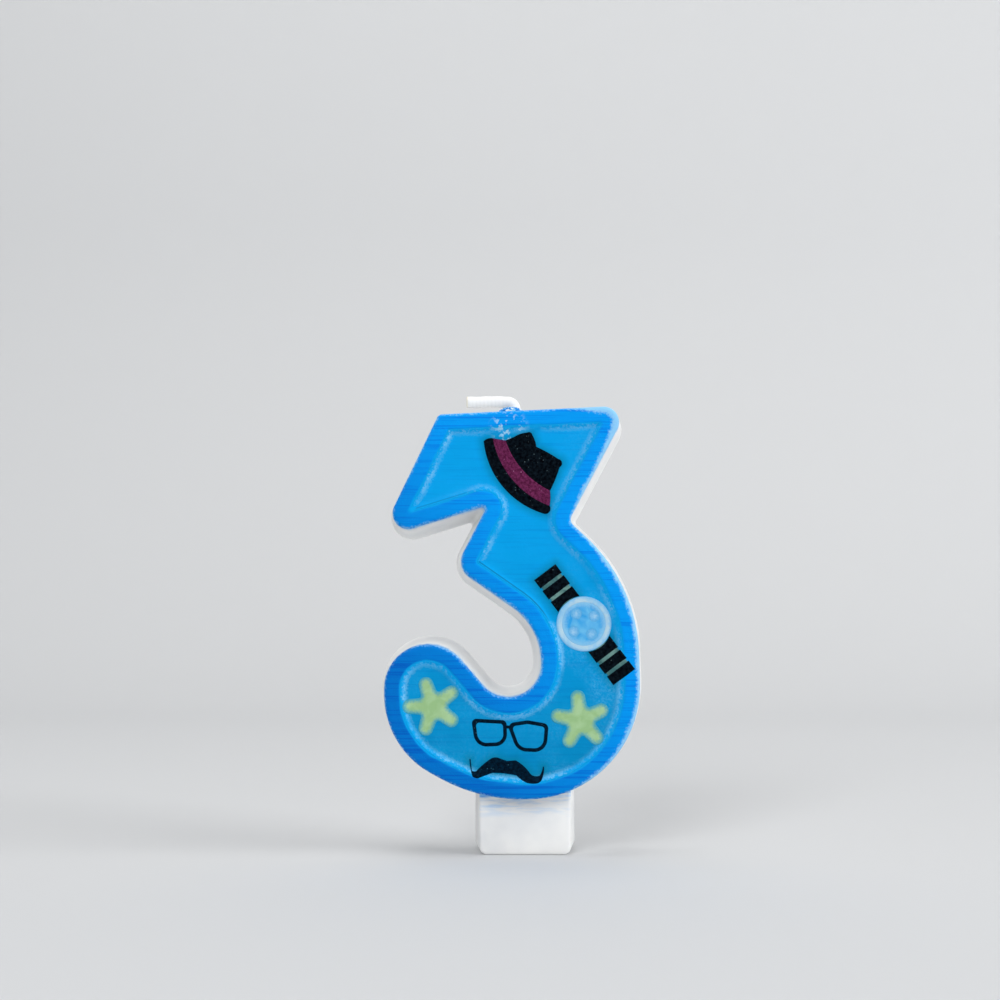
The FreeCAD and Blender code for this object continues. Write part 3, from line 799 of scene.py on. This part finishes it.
# braided cotton dipped in paraffin: white, lumpy and satin, bare and yellowish where it was cut
waxed_cotton, tree, shader, place = new_wax("wax_dipped_braided_cotton", 0.5, 0.35)
weave_at = add(tree, "Attribute", {"attribute_name": "weave"}).outputs["Fac"]
cut_at = add(tree, "Attribute", {"attribute_name": "cut_end"}).outputs["Fac"]
fluff = add(tree, "TexNoise", {"Scale": 1 / (0.5 * MM), "Detail": 4}, {"Vector": place})
strand = add(tree, "MapRange", {"From Min": -1.0, "From Max": 0.6}, {"Value": weave_at})
pale = add(tree, "Mix", {"data_type": "RGBA", "A": linear("f1f1f0"), "B": linear("f8f8f7")},
           {"Factor": strand.outputs[0]})
yellowed = add(tree, "Math", {"operation": "MULTIPLY", 1: 0.8}, {0: cut_at})
bare = add(tree, "Mix", {"data_type": "RGBA", "B": linear("d8cba6")},
           {"Factor": yellowed.outputs[0], 6: pale.outputs[2]})
tree.links.new(bare.outputs[2], shader.inputs["Base Color"])
bump = add(tree, "Bump", {"Strength": 0.5, "Distance": 0.05 * MM}, {"Height": fluff.outputs["Fac"]})
tree.links.new(bump.outputs[0], shader.inputs["Normal"])
wick = show("wick_braid", wick_mesh, waxed_cotton)
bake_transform(wick)
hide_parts("wick_core", "wick_tip")

# ---------------------------------------------------------------- crumbs at the wick
# Where the wick leaves the top edge, crumbs of blue and white wax cling in a low mound that
# reaches forward to the rim. They are loose bits pressed together.
around = np.linspace(0, 2 * np.pi, 120, endpoint=False)
MOUND_CENTRE = (-2.2, -3.95)
MOUND_REACH = (1.85, 1.25)
MOUND_DROP = 1.62
MOUND_SKIRT = 0.5
mound_top = bend[2] - MOUND_DROP
mound_rings = []
for share in np.linspace(0.02, 1, 26):
    crumb = (np.sin(5 * around + 9 * share) * np.sin(13 * share + 0.7) + np.sin(9 * around - 17 * share)
             + 0.7 * np.sin(17 * around + 23 * share))
    spread = share * (1 + 0.06 * crumb * share)
    lift = 0.45 * (1 - share**2) + 0.09 * crumb * np.sqrt(share) * (1 - share**4) - 0.12 * share**6
    mound_rings.append(np.stack([MOUND_CENTRE[0] + MOUND_REACH[0] * spread * np.cos(around),
                                 MOUND_CENTRE[1] + MOUND_REACH[1] * spread * np.sin(around),
                                 mound_top + lift], 1))
mound_rings.append(mound_rings[-1] * (1, 1, 0) + (0, 0, mound_top - MOUND_SKIRT))
# crumbled paraffin of both colours, pressed together
crumbled_wax, tree, shader, place = new_wax("crumbled_paraffin", 0.5, 0.3)
bits = add(tree, "TexVoronoi", {"Scale": 1 / (0.55 * MM)}, {"Vector": place})
bit = add(tree, "SeparateColor", links={"Color": bits.outputs["Color"]})
which = add(tree, "ValToRGB", links={"Fac": bit.outputs[0]})
which.color_ramp.interpolation = "CONSTANT"
which.color_ramp.elements[0].color = linear("e6eef4")
which.color_ramp.elements[1].position = 0.25
which.color_ramp.elements[1].color = linear("0c8ee0")
last = which.color_ramp.elements.new(0.75)
last.color = linear("8cc8f0")
tree.links.new(which.outputs["Color"], shader.inputs["Base Color"])
crumb_bump = add(tree, "Bump", {"Strength": 0.8, "Distance": 0.1 * MM},
                 {"Height": bits.outputs["Distance"]})
tree.links.new(crumb_bump.outputs[0], shader.inputs["Normal"])
mound = show("wick_crumbs", rings_mesh("wick_crumbs", np.array(mound_rings)[::-1]), crumbled_wax)
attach(mound, "candle")

# ---------------------------------------------------------------- floor, light and camera
# A pale sheet that curves up behind the candle, a broad soft light high in front on the left,
# softer ones on the right and overhead, and a camera close to the front.
# in metres: the sheet's front edge, where it starts to curve, the curve's radius, its top and width
SHEET_FRONT, CURVE_FROM, CURVE, SHEET_TOP, HALF_SHEET = -0.9, 0.28, 0.25, 1.4, 1.2
bow = np.linspace(0, np.pi / 2, 24)
run = np.concatenate([[SHEET_FRONT], CURVE_FROM + CURVE * np.sin(bow), [CURVE_FROM + CURVE]])
lift = np.concatenate([[0.0], CURVE * (1 - np.cos(bow)), [SHEET_TOP]])
sweep = bpy.data.meshes.new("sweep")
sides = np.array([-HALF_SHEET, HALF_SHEET])
sweep_points = np.stack([np.repeat(sides, len(run)), np.tile(run, 2), np.tile(lift, 2)], 1)
k = np.arange(len(run) - 1)
sweep.from_pydata(sweep_points.tolist(), [],
                  np.stack([k, k + len(run), k + len(run) + 1, k + 1], 1).tolist())
sweep.shade_smooth()
paper = bpy.data.materials.new("pale_paper")
paper.use_nodes = True
paper.node_tree.nodes["Principled BSDF"].inputs["Base Color"].default_value = linear("d1d2d3")
paper.node_tree.nodes["Principled BSDF"].inputs["Roughness"].default_value = 0.9
show("sweep", sweep, paper)


def soft_light(name, place, aim, size, power):
    """A square area light of that size in metres, at place and facing aim."""
    lamp = bpy.data.lights.new(name, "AREA")
    lamp.size = size
    lamp.energy = power
    light = bpy.data.objects.new(name, lamp)
    light.location = place
    direction = Vector(aim) - Vector(place)
    light.rotation_euler = direction.to_track_quat("-Z", "Y").to_euler()
    bpy.context.scene.collection.objects.link(light)


soft_light("key", (-0.50, -1.15, 0.85), (0, 0, 0.045), 0.7, 10.0)
soft_light("fill", (1.0, -0.30, 0.45), (0, 0, 0.04), 0.6, 7.1)
soft_light("overhead", (-0.1, 0.0, 1.0), (0, 0, 0.04), 0.5, 3.0)
world = bpy.data.worlds.new("room")
world.use_nodes = True
world.node_tree.nodes["Background"].inputs["Color"].default_value = linear("f2f4f7")
world.node_tree.nodes["Background"].inputs["Strength"].default_value = 0.30
bpy.context.scene.world = world
bpy.context.scene.view_settings.view_transform = "Standard"

lens = bpy.data.cameras.new("camera")
lens.sensor_width = 36
lens.lens = 36 * 1.431
lens.clip_start = 0.01
camera = bpy.data.objects.new("camera", lens)
camera.location = (-0.0016, -0.236, 0.0399)
look = Vector((-15, 1431, 105.5))
camera.rotation_euler = look.to_track_quat("-Z", "Y").to_euler()
bpy.context.scene.collection.objects.link(camera)
bpy.context.scene.camera = camera
